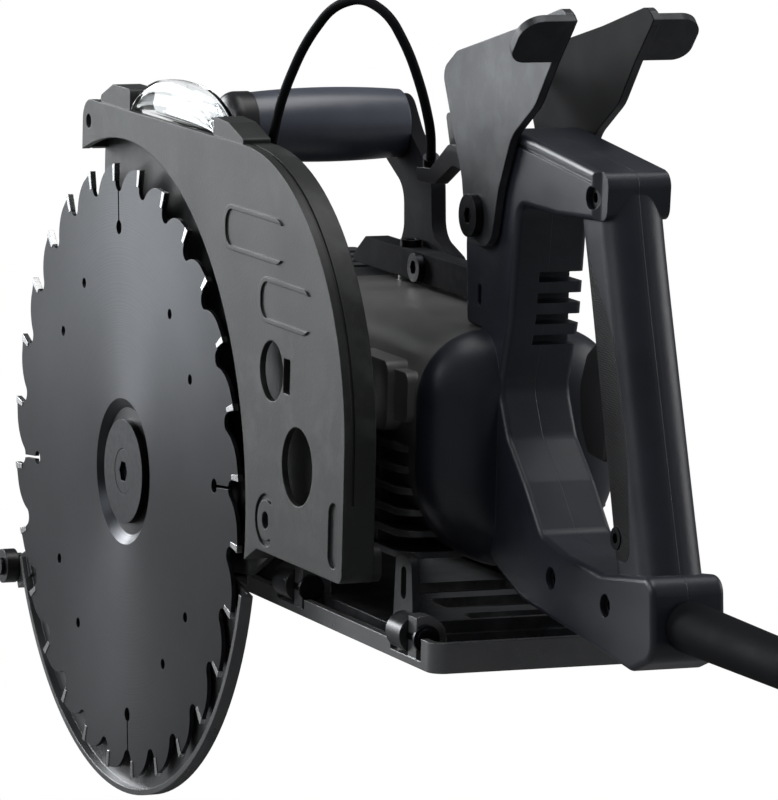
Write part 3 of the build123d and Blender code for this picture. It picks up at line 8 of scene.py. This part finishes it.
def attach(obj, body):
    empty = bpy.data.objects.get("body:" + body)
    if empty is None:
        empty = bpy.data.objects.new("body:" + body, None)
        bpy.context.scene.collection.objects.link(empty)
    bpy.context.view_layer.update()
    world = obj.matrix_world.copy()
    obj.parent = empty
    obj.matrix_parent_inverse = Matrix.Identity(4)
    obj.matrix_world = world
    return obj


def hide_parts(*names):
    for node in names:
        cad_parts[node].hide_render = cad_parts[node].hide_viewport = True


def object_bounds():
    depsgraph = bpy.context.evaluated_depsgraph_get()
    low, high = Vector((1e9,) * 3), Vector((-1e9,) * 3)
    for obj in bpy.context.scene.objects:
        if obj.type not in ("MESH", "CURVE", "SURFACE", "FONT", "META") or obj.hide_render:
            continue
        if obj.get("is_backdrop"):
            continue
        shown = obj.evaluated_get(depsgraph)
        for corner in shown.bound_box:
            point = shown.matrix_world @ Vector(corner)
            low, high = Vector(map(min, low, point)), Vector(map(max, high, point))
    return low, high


# Places and sizes of the model, in metres
BLADE_CENTRE = Vector((0.0, -0.080, 0.0365))
BLADE_R = 0.1302
# The plate darkens towards the gullets between these distances from its edge
GULLET_BAND = (0.028, 0.004)
# Painted shade in the dish: inside this radius, around the washer, the plate is darkened
DISH_R = 0.027
DISH_SHADE_BAND = (-0.0005, 0.0012)
# Half the space between the hook's two plates, and a little more; faces within it get painted
# shade
HOOK_INNER = 0.0165
# Painted highlight: above these heights, where the housing's upper ribs end, its colour turns pale
# grey
HIGHLIGHT_Z = (0.079, 0.086)
# Sight lens: its ends along the guard, its sides, its wall, its height and its shape
LENS_ENDS = (0.002, 0.096)
LENS_Y = (-0.08025, -0.06925)
LENS_WALL = 0.0016
LENS_FOOT_Z = 0.1904
DOME_RISE = 0.0165
DOME_ARCH = (2.6, 0.62)
DOME_SHOULDER = 0.45
DOME_STEPS = 48
DOME_TURNS = 14
FLOOR_Z = -0.1010
FLOOR_REACH = 6.0
# The free cord, with the same points as its solid
CORD_D = 0.009
CORD_ROUTE = [
    (0.511, 0, 0.034), (0.563, 0, 0.034), (0.610, 0.006, 0.004), (0.634, 0.038, -0.046),
    (0.616, 0.088, -0.086), (0.566, 0.116, -0.095), (0.508, 0.110, -0.092),
    (0.450, 0.112, -0.081),
]

# The photograph's camera: angles in degrees, places in the photograph in pixels
AZIMUTH = 66.5
ELEVATION = 8.5
ROLL = 1.4
CAMERA_DISTANCE = 2.958
FOCAL_PIXELS = 7000.0
PHOTO_MIDDLE = (389.0, 400.0)
BLADE_PIXEL = (123.0, 471.3)
LONG_SIDE_PIXELS = 800.0
SENSOR_MM = 36.0

# The white that the camera sees, and the dimmer room that gloss and shadows see
WHITE = (1.0, 1.0, 1.0, 1.0)
ROOM_TINT = (0.92, 0.96, 1.0, 1.0)
ROOM_STRENGTH = 0.11
BOUNCE_GREY = (0.25, 0.25, 0.25, 1.0)

# What the two boxes on the left aim at
LAMP_AIM = (0.1, -0.05, 0.12)

# How sharp an edge has to be, and how thick the noise, for the paint to wear there
WORN_EDGE = (0.54, 0.62)
WORN_PATCH = (0.45, 0.65)
WORN_METAL = (0.3, 0.31, 0.32)
# Painted shade between the hook's plates: the share of the colour left there, and how much rougher
# it is
INNER_SHADE_SHARE = 0.2
INNER_FACE_ROUGHER = 0.5
# Rise over run of the chequer's lines, and its depth in metres
CHECK_SLOPE = 0.62
CHECK_DEPTH = 0.0009


class Look:
    """A material's node tree with short ways to add nodes."""

    def __init__(self, name):
        self.mat = bpy.data.materials.new(name)
        self.mat.use_nodes = True
        self.tree = self.mat.node_tree
        self.bsdf = self.tree.nodes["Principled BSDF"]
        self.coord = self.tree.nodes.new("ShaderNodeTexCoord")

    def node(self, kind, values=None, **props):
        """Add a node, with its settings and the values of its inputs."""
        made = self.tree.nodes.new(kind)
        for key, value in props.items():
            setattr(made, key, value)
        for key, value in (values or {}).items():
            made.inputs[key].default_value = value
        return made

    def link(self, out, into):
        self.tree.links.new(out, into)

    def set(self, **values):
        """Write plain values on the surface's inputs."""
        for key, value in values.items():
            self.bsdf.inputs[key.replace("_", " ")].default_value = value

    def noise(self, scale, detail=4.0, rough=0.55, stretch=None):
        """A noise in the object's own space, drawn out along its axes if stretch is given."""
        made = self.node("ShaderNodeTexNoise",
                         {"Scale": scale, "Detail": detail, "Roughness": rough})
        if stretch:
            mapping = self.node("ShaderNodeMapping")
            mapping.inputs["Scale"].default_value = stretch
            self.link(self.coord.outputs["Object"], mapping.inputs["Vector"])
            self.link(mapping.outputs["Vector"], made.inputs["Vector"])
        else:
            self.link(self.coord.outputs["Object"], made.inputs["Vector"])
        return made

    def along(self, axis):
        """The object's own X, Y or Z, in metres."""
        split = self.node("ShaderNodeSeparateXYZ")
        self.link(self.coord.outputs["Object"], split.inputs["Vector"])
        return split.outputs[axis]

    def feed(self, value, socket):
        """Link an output to a socket, or write a plain number or colour on it."""
        if hasattr(value, "is_linked"):
            self.link(value, socket)
        elif isinstance(value, tuple) and len(value) == 3:
            socket.default_value = (*value, 1.0)
        else:
            socket.default_value = value

    def spread(self, out, low, high, low_in=0.3, high_in=0.7):
        """Map an output's usual span to the span from low to high."""
        made = self.node("ShaderNodeMapRange", {
            "From Min": low_in, "From Max": high_in, "To Min": low, "To Max": high})
        self.link(out, made.inputs["Value"])
        return made.outputs["Result"]

    def mix(self, factor, a, b):
        made = self.node("ShaderNodeMix", data_type="RGBA")
        self.feed(factor, made.inputs["Factor"])
        self.feed(a, made.inputs[6])
        self.feed(b, made.inputs[7])
        return made.outputs[2]

    def mottle(self, cloud, a, b):
        """Two colours in the patches of a noise."""
        return self.mix(self.spread(cloud.outputs["Fac"], 0.0, 1.0), a, b)

    def math(self, operation, a, b=None):
        made = self.node("ShaderNodeMath", operation=operation)
        self.feed(a, made.inputs[0])
        if b is not None:
            self.feed(b, made.inputs[1])
        return made.outputs[0]

    def bump(self, height, strength, distance, round_edges):
        """Bump from a height, over edges that look rounded by round_edges."""
        made = self.node("ShaderNodeBump", {"Strength": strength, "Distance": distance})
        self.link(height, made.inputs["Height"])
        bevel = self.node("ShaderNodeBevel", {"Radius": round_edges}, samples=4)
        self.link(bevel.outputs["Normal"], made.inputs["Normal"])
        self.link(made.outputs["Normal"], self.bsdf.inputs["Normal"])


def shaded(colour, factor):
    """The colour, made darker or lighter by a factor."""
    return tuple(channel * factor for channel in colour)


def coated(name, colour, rough, metal=0.0, grain=1400.0, grain_depth=0.00006, wear=0.10,
           vary=0.25, specular=0.5, shade_within=0.0):
    """Painted, powder coated or moulded surface with fine grain, uneven sheen and rubbed edges.

    Faces nearer the middle plane than the given distance get painted shade: darker, rougher and
    less metallic.
    """
    look = Look(name)
    cloud = look.noise(28.0, 5.0)
    fine = look.noise(grain, 3.0)
    base = look.mottle(cloud, shaded(colour, 1 - vary), shaded(colour, 1 + vary))
    if wear:
        geometry = look.node("ShaderNodeNewGeometry")
        edges = look.spread(geometry.outputs["Pointiness"], 0.0, 1.0, *WORN_EDGE)
        patch = look.spread(look.noise(90.0, 6.0).outputs["Fac"], 0.0, 1.0, *WORN_PATCH)
        amount = look.math("MULTIPLY", look.math("MULTIPLY", edges, patch), wear)
        base = look.mix(amount, base, WORN_METAL)
    sheen = look.spread(cloud.outputs["Fac"], rough - 0.05, rough + 0.06)
    look.set(Metallic=metal, Specular_IOR_Level=specular)
    # Painted shade between the hook's plates: faces near the middle plane are darker, rougher and
    # less metallic
    if shade_within:
        outer = look.math("GREATER_THAN", look.math("ABSOLUTE", look.along("Y")), shade_within)
        base = look.mix(outer, shaded(colour, INNER_SHADE_SHARE), base)
        inner = look.math("SUBTRACT", 1.0, outer)
        sheen = look.math("ADD", sheen, look.math("MULTIPLY", inner, INNER_FACE_ROUGHER))
        look.link(look.math("MULTIPLY", outer, metal), look.bsdf.inputs["Metallic"])
    look.link(base, look.bsdf.inputs["Base Color"])
    look.link(sheen, look.bsdf.inputs["Roughness"])
    look.bump(fine.outputs["Fac"], strength=0.6, distance=grain_depth, round_edges=0.0006)
    return look.mat


def brushed(name, colour, rough, stretch=(1, 1, 1), vary=0.2, scale=300.0):
    """Bare or blackened metal with fine brushing."""
    look = Look(name)
    lines = look.noise(scale, 6.0, 0.6, stretch)
    cloud = look.noise(35.0, 4.0)
    base = look.mottle(cloud, shaded(colour, 1 - vary), colour)
    sheen = look.spread(lines.outputs["Fac"], rough - 0.06, rough + 0.08)
    look.link(base, look.bsdf.inputs["Base Color"])
    look.link(sheen, look.bsdf.inputs["Roughness"])
    look.set(Metallic=1.0)
    look.bump(lines.outputs["Fac"], strength=0.5, distance=0.00003, round_edges=0.0003)
    return look.mat


def rubber(name, colour, rough, checks=0.0, specular=0.5):
    """Soft black rubber, with a raised diamond pattern if checks is its pitch."""
    look = Look(name)
    cloud = look.noise(60.0, 4.0)
    base = look.mottle(cloud, shaded(colour, 0.7), colour)
    sheen = look.spread(cloud.outputs["Fac"], rough - 0.08, rough + 0.08)
    look.link(base, look.bsdf.inputs["Base Color"])
    look.link(sheen, look.bsdf.inputs["Roughness"])
    look.set(Specular_IOR_Level=specular)
    height = look.noise(900.0, 2.0).outputs["Fac"]
    depth = 0.00005
    if checks:
        waves = []
        x, z = look.along("X"), look.along("Z")
        for slope in (CHECK_SLOPE, -CHECK_SLOPE):
            across = look.math("ADD", x, look.math("MULTIPLY", z, slope))
            wave = look.math("SINE", look.math("MULTIPLY", across, 2 * math.pi / checks))
            waves.append(look.math("ABSOLUTE", wave))
        height = look.math("MULTIPLY", waves[0], waves[1])
        depth = CHECK_DEPTH
    look.bump(height, strength=0.8, distance=depth, round_edges=0.0004)
    return look.mat


def blade_look():
    """Dark coated saw plate, ground in rings and darker towards the gullets, with painted shade in
    its dish.
    """
    look = Look("blade_plate")
    offset = look.node("ShaderNodeVectorMath", operation="SUBTRACT")
    offset.inputs[1].default_value = BLADE_CENTRE
    look.link(look.coord.outputs["Object"], offset.inputs[0])
    length = look.node("ShaderNodeVectorMath", operation="LENGTH")
    look.link(offset.outputs["Vector"], length.inputs[0])
    rings = look.node("ShaderNodeTexNoise", {"Scale": 2600.0, "Detail": 4.0},
                      noise_dimensions="1D")
    look.link(length.outputs["Value"], rings.inputs["W"])
    cloud = look.noise(22.0, 5.0)
    base = look.mottle(cloud, (0.026, 0.028, 0.032), (0.040, 0.042, 0.048))
    radius = length.outputs["Value"]
    rim = look.spread(radius, 0.0, 1.0, *(BLADE_R - step for step in GULLET_BAND))
    base = look.mix(look.math("MULTIPLY", rim, 0.45), base, (0.02, 0.021, 0.024))
    # Painted shade: the plate inside the dish, around the washer, is coloured nearly black
    dish_shade = look.spread(radius, 1.0, 0.0, *(DISH_R + step for step in DISH_SHADE_BAND))
    base = look.mix(dish_shade, base, (0.006, 0.006, 0.007))
    look.link(look.spread(rings.outputs["Fac"], 0.28, 0.40), look.bsdf.inputs["Roughness"])
    look.set(Metallic=0.85, Specular_IOR_Level=0.6, Anisotropic=0.55, Anisotropic_Rotation=0.25)
    look.link(base, look.bsdf.inputs["Base Color"])
    tangent = look.node("ShaderNodeTangent", direction_type="RADIAL", axis="Y")
    look.link(tangent.outputs["Tangent"], look.bsdf.inputs["Tangent"])
    look.bump(rings.outputs["Fac"], strength=0.25, distance=0.00002, round_edges=0.0002)
    return look.mat


def housing_look():
    """Cast housing: dark between and below the ribs, with a painted highlight of pale grey over
    the top.
    """
    look = Look("housing_paint")
    cloud = look.noise(30.0, 5.0)
    # Painted highlight: the top of the housing is coloured pale grey by height, standing in for a
    # reflection
    highlight_mask = look.spread(look.along("Z"), 0.0, 1.0, *HIGHLIGHT_Z)
    painted_highlight = look.mottle(cloud, (0.15, 0.15, 0.147), (0.23, 0.228, 0.222))
    dark = look.mottle(cloud, (0.08, 0.082, 0.087), (0.11, 0.112, 0.118))
    look.link(look.mix(highlight_mask, dark, painted_highlight), look.bsdf.inputs["Base Color"])
    look.link(look.spread(cloud.outputs["Fac"], 0.32, 0.44), look.bsdf.inputs["Roughness"])
    look.set(Metallic=0.4, Specular_IOR_Level=0.5)
    fine = look.noise(800.0, 3.0)
    look.bump(fine.outputs["Fac"], strength=0.6, distance=0.00008, round_edges=0.0006)
    return look.mat


def clear_look():
    """Clear plastic, thin and hardly bending the light."""
    look = Look("clear_lens")
    cloud = look.noise(120.0, 3.0)
    look.link(look.spread(cloud.outputs["Fac"], 0.0, 0.02), look.bsdf.inputs["Roughness"])
    look.set(Base_Color=(0.93, 0.95, 0.96, 1.0), Transmission_Weight=1.0, IOR=1.12)
    return look.mat


def dress():
    """Give each CAD node its material, and return the cable's for the free cord."""
    body = coated("handle_plastic", (0.019, 0.0215, 0.032), 0.38, grain=1600.0, wear=0.04,
                  specular=0.6)
    case = coated("case_paint", (0.020, 0.021, 0.024), 0.42, grain=700.0, grain_depth=0.00012)
    frame_paint = coated("frame_paint", (0.011, 0.0115, 0.014), 0.75, grain=700.0, wear=0.05,
                         specular=0.1)
    guard = coated("guard_paint", (0.028, 0.029, 0.028), 0.42, grain=900.0, grain_depth=0.00008,
                   specular=0.34)
    # Painted shade on the inner faces of the hook's plates
    hook = coated("hook_steel", (0.045, 0.047, 0.052), 0.40, metal=0.4, grain=1200.0, wear=0.12,
                  vary=0.12, shade_within=HOOK_INNER)
    carriage = coated("carriage_paint", (0.03, 0.031, 0.033), 0.3, metal=0.4, grain=900.0,
                      wear=0.15)
    shoe = coated("shoe_paint", (0.16, 0.161, 0.164), 0.3, metal=0.6, grain=900.0, wear=0.12,
                  vary=0.12)
    steel = brushed("bright_steel", (0.6, 0.61, 0.62), 0.28)
    dark = brushed("black_steel", (0.035, 0.036, 0.04), 0.36)
    carbide = brushed("carbide", (0.62, 0.62, 0.62), 0.22, vary=0.35, scale=900.0)
    bronze = brushed("bronze", (0.55, 0.36, 0.17), 0.3)
    copper = brushed("copper", (0.7, 0.33, 0.18), 0.35, (1, 30, 30))
    iron = brushed("iron", (0.28, 0.29, 0.3), 0.45, (60, 1, 1))
    black = coated("black_plastic", (0.012, 0.012, 0.013), 0.35, grain=1200.0, wear=0.0)
    grip = coated("front_grip_plastic", (0.07, 0.078, 0.104), 0.32, grain=1300.0, wear=0.0,
                  specular=0.9)
    cable = rubber("cable_rubber", (0.008, 0.0085, 0.010), 0.66, specular=0.08)
    pads = rubber("grip_rubber", (0.02, 0.02, 0.021), 0.5, checks=0.0022)
    looks = {
        body: ["handle_left", "handle_right"],
        case: ["gear_case", "gear_cover", "rear_bearing_bracket"],
        frame_paint: ["front_handle_frame"],
        guard: ["upper_guard"],
        housing_look(): ["motor_housing"],
        hook: ["rafter_hook", "depth_lever", "bevel_lever"],
        carriage: ["carriage"],
        shoe: ["shoe", "lower_guard"],
        steel: ["oil_plug", "guard_retaining_ring", "guard_spring", "handle_pins", "blade_flange",
                "spindle", "motor_shaft", "worm", "depth_pivot_pin", "bevel_bolt", "bearings"],
        dark: ["case_screws", "depth_bolt", "handle_screws", "hook_bolt", "cable_ends",
               "blade_washer", "arbor_bolt", "roller_pin", "bevel_pins"],
        carbide: ["blade_tips"],
        bronze: ["brush_holders", "worm_wheel", "plug_prongs"],
        copper: ["field_coils", "armature_windings", "commutator"],
        iron: ["field_core", "armature_core"],
        black: ["carbon_brushes", "brush_caps", "switch", "front_grip_cap", "plug_body",
                "cooling_fan", "guard_roller", "trigger", "blade_lock_button", "lift_lever"],
        grip: ["front_grip"],
        cable: ["lift_cable", "strain_relief", "cord"],
        pads: ["grip_pads"],
        blade_look(): ["blade"],
    }
    for material, names in looks.items():
        for name in names:
            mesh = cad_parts[name].data
            mesh.materials.clear()
            mesh.materials.append(material)
    return cable


def dome_points(inset):
    """Points of the dome's outer skin, or of its inner one, inset by the wall."""
    points = []
    low, high = LENS_ENDS[0] + inset, LENS_ENDS[1] - inset
    middle, half = sum(LENS_Y) / 2, (LENS_Y[1] - LENS_Y[0]) / 2 - inset
    swell, roundness = DOME_ARCH
    for i in range(DOME_STEPS + 1):
        share = -math.cos(math.pi * i / DOME_STEPS)
        x = (low + high) / 2 + (high - low) / 2 * share
        rise = (DOME_RISE - inset) * (1.0 - abs(share) ** swell) ** roundness
        for j in range(DOME_TURNS + 1):
            angle = math.pi * j / DOME_TURNS
            side, up = math.cos(angle), math.sin(angle)
            y = middle + half * math.copysign(abs(side) ** DOME_SHOULDER, side)
            points.append((x, y, LENS_FOOT_Z + rise * abs(up) ** DOME_SHOULDER))
    return points


def sight_lens():
    """Clear moulded dome over the cut line: a thin arched shell with rounded shoulders."""
    row = DOME_TURNS + 1
    layer = row * (DOME_STEPS + 1)
    faces = []
    for i in range(DOME_STEPS):
        for j in range(DOME_TURNS):
            a = i * row + j
            faces.append((a, a + 1, a + row + 1, a + row))
            b = layer + a
            faces.append((b, b + row, b + row + 1, b + 1))
    rim = [i * row for i in range(DOME_STEPS + 1)]
    rim += [i * row + DOME_TURNS for i in range(DOME_STEPS, -1, -1)]
    for a, b in zip(rim, rim[1:] + rim[:1]):
        faces.append((a, b, layer + b, layer + a))
    mesh = bpy.data.meshes.new("clear_dome")
    mesh.from_pydata(dome_points(0.0) + dome_points(LENS_WALL), [], faces)
    mesh.materials.append(clear_look())
    made = bmesh.new()
    made.from_mesh(mesh)
    bmesh.ops.remove_doubles(made, verts=made.verts, dist=0.00002)
    bmesh.ops.recalc_face_normals(made, faces=made.faces)
    for face in made.faces:
        face.smooth = True
    made.to_mesh(mesh)
    made.free()
    dome = bpy.data.objects.new("clear_dome", mesh)
    bpy.context.scene.collection.objects.link(dome)
    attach(dome, "saw_body")
    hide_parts("sight_lens")


def add_cord(material):
    """The short free cord, as one smooth line from the strain relief to the plug."""
    curve = bpy.data.curves.new("mains_cord", "CURVE")
    curve.dimensions = "3D"
    curve.bevel_depth = CORD_D / 2
    curve.bevel_resolution = 5
    curve.resolution_u = 16
    curve.use_fill_caps = True
    spline = curve.splines.new("NURBS")
    spline.points.add(len(CORD_ROUTE) - 1)
    for point, place in zip(spline.points, CORD_ROUTE):
        point.co = (*place, 1.0)
    spline.order_u = 3
    spline.use_endpoint_u = True
    cord = bpy.data.objects.new("mains_cord", curve)
    bpy.context.scene.collection.objects.link(cord)
    curve.materials.append(material)
    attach(cord, "saw_body")
    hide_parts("cord")


def white_stage():
    """White surroundings for the camera, and a dimmer studio in reflections."""
    world = bpy.data.worlds.new("studio")
    bpy.context.scene.world = world
    world.use_nodes = True
    tree = world.node_tree
    tree.nodes.clear()
    out = tree.nodes.new("ShaderNodeOutputWorld")
    shown = tree.nodes.new("ShaderNodeBackground")
    shown.inputs["Color"].default_value = WHITE
    shown.inputs["Strength"].default_value = 1.0
    lit = tree.nodes.new("ShaderNodeBackground")
    lit.inputs["Color"].default_value = ROOM_TINT
    lit.inputs["Strength"].default_value = ROOM_STRENGTH
    path = tree.nodes.new("ShaderNodeLightPath")
    seen = tree.nodes.new("ShaderNodeMath")
    seen.operation = "MAXIMUM"
    tree.links.new(path.outputs["Is Camera Ray"], seen.inputs[0])
    tree.links.new(path.outputs["Is Transmission Ray"], seen.inputs[1])
    both = tree.nodes.new("ShaderNodeMixShader")
    tree.links.new(seen.outputs[0], both.inputs["Fac"])
    tree.links.new(lit.outputs["Background"], both.inputs[1])
    tree.links.new(shown.outputs["Background"], both.inputs[2])
    tree.links.new(both.outputs["Shader"], out.inputs["Surface"])


def pale_floor():
    """A wide floor under the blade and the cord, plain white from above, open from below."""
    mesh = bpy.data.meshes.new("floor")
    signs = ((-1, -1), (1, -1), (1, 1), (-1, 1))
    corners = [(FLOOR_REACH * x, FLOOR_REACH * y, FLOOR_Z) for x, y in signs]
    mesh.from_pydata(corners, [], [(0, 1, 2, 3)])
    floor = bpy.data.objects.new("floor", mesh)
    bpy.context.scene.collection.objects.link(floor)
    look = Look("floor_white")
    look.set(Base_Color=BOUNCE_GREY, Roughness=0.9)
    shown = look.node("ShaderNodeEmission", {"Color": WHITE, "Strength": 1.0})
    path = look.node("ShaderNodeLightPath")
    seen = look.math("MAXIMUM", path.outputs["Is Camera Ray"],
                     path.outputs["Is Transmission Ray"])
    both = look.node("ShaderNodeMixShader")
    look.link(seen, both.inputs["Fac"])
    look.link(look.bsdf.outputs["BSDF"], both.inputs[1])
    look.link(shown.outputs["Emission"], both.inputs[2])
    clear = look.node("ShaderNodeBsdfTransparent")
    geometry = look.node("ShaderNodeNewGeometry")
    sided = look.node("ShaderNodeMixShader")
    look.link(geometry.outputs["Backfacing"], sided.inputs["Fac"])
    look.link(both.outputs["Shader"], sided.inputs[1])
    look.link(clear.outputs["BSDF"], sided.inputs[2])
    look.link(sided.outputs["Shader"], look.tree.nodes["Material Output"].inputs["Surface"])
    mesh.materials.append(look.mat)
    floor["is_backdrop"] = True


def area_light(name, place, target, size, power, colour=(1, 1, 1)):
    """A rectangular lamp at a place, turned to its target."""
    data = bpy.data.lights.new(name, "AREA")
    data.shape = "RECTANGLE"
    data.size, data.size_y = size
    data.energy = power
    data.color = colour
    light = bpy.data.objects.new(name, data)
    light.location = place
    light.rotation_mode = "QUATERNION"
    light.rotation_quaternion = (Vector(target) - Vector(place)).to_track_quat("-Z", "Y")
    bpy.context.scene.collection.objects.link(light)


def lights():
    """Soft boxes: the blade, guard and hook mirror the first two, the rest fill the shadows."""
    area_light("front_left_box", (-1.7, -0.95, 0.62), LAMP_AIM, (1.3, 0.8), 34,
               (0.96, 0.98, 1.0))
    area_light("low_card", (-1.06, -0.62, 0.03), (0.1, -0.08, 0.12), (0.3, 0.24), 0.75,
               (0.92, 0.96, 1.0))
    area_light("left_box", (0.0, -1.7, 1.0), LAMP_AIM, (1.0, 0.8), 9, (0.95, 0.98, 1.0))
    area_light("rear_strip", (1.5, 0.9, 0.6), (0.3, 0, 0.1), (0.25, 0.9), 0.4, (0.8, 0.9, 1.0))
    area_light("top_box", (0.2, 0.1, 1.5), (0.15, 0, 0.05), (1.2, 0.9), 10)
    area_light("right_box", (0.4, 1.5, 0.7), (0.15, 0, 0.1), (1.0, 1.0), 7)


def photo_camera():
    """Long lens at the photograph's angle, with the blade's centre where the photograph has it."""
    azimuth, elevation, roll = (math.radians(v) for v in (AZIMUTH, ELEVATION, ROLL))
    across = (BLADE_PIXEL[0] - PHOTO_MIDDLE[0]) / FOCAL_PIXELS
    above = (PHOTO_MIDDLE[1] - BLADE_PIXEL[1]) / FOCAL_PIXELS
    back = Vector((math.sin(azimuth) * math.cos(elevation),
                   -math.cos(azimuth) * math.cos(elevation),
                   math.sin(elevation)))
    right = Vector((math.cos(azimuth), math.sin(azimuth), 0.0))
    up = back.cross(right)
    right, up = (right * math.cos(roll) + up * math.sin(roll),
                 up * math.cos(roll) - right * math.sin(roll))
    data = bpy.data.cameras.new("photo_camera")
    data.lens = FOCAL_PIXELS / LONG_SIDE_PIXELS * SENSOR_MM
    data.sensor_width = SENSOR_MM
    data.clip_end = 50.0
    camera = bpy.data.objects.new("photo_camera", data)
    place = BLADE_CENTRE + CAMERA_DISTANCE * (back - across * right - above * up)
    camera.matrix_world = Matrix((
        (right.x, up.x, back.x, place.x),
        (right.y, up.y, back.y, place.y),
        (right.z, up.z, back.z, place.z),
        (0.0, 0.0, 0.0, 1.0),
    ))
    bpy.context.scene.collection.objects.link(camera)
    bpy.context.scene.camera = camera


def note_size(sizes, key):
    """Keep the whole object's box under a key."""
    low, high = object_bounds()
    sizes[key] = [list(low), list(high)]


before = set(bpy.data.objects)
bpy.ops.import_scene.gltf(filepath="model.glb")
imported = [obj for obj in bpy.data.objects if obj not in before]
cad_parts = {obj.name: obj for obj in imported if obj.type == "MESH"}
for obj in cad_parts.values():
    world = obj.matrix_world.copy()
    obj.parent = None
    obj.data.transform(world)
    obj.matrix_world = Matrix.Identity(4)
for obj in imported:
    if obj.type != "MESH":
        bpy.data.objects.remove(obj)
sizes = {}
note_size(sizes, "loaded")
cable_material = dress()
add_cord(cable_material)
sight_lens()
white_stage()
pale_floor()
lights()
photo_camera()
bpy.context.scene.view_settings.view_transform = "Standard"
note_size(sizes, "finished")
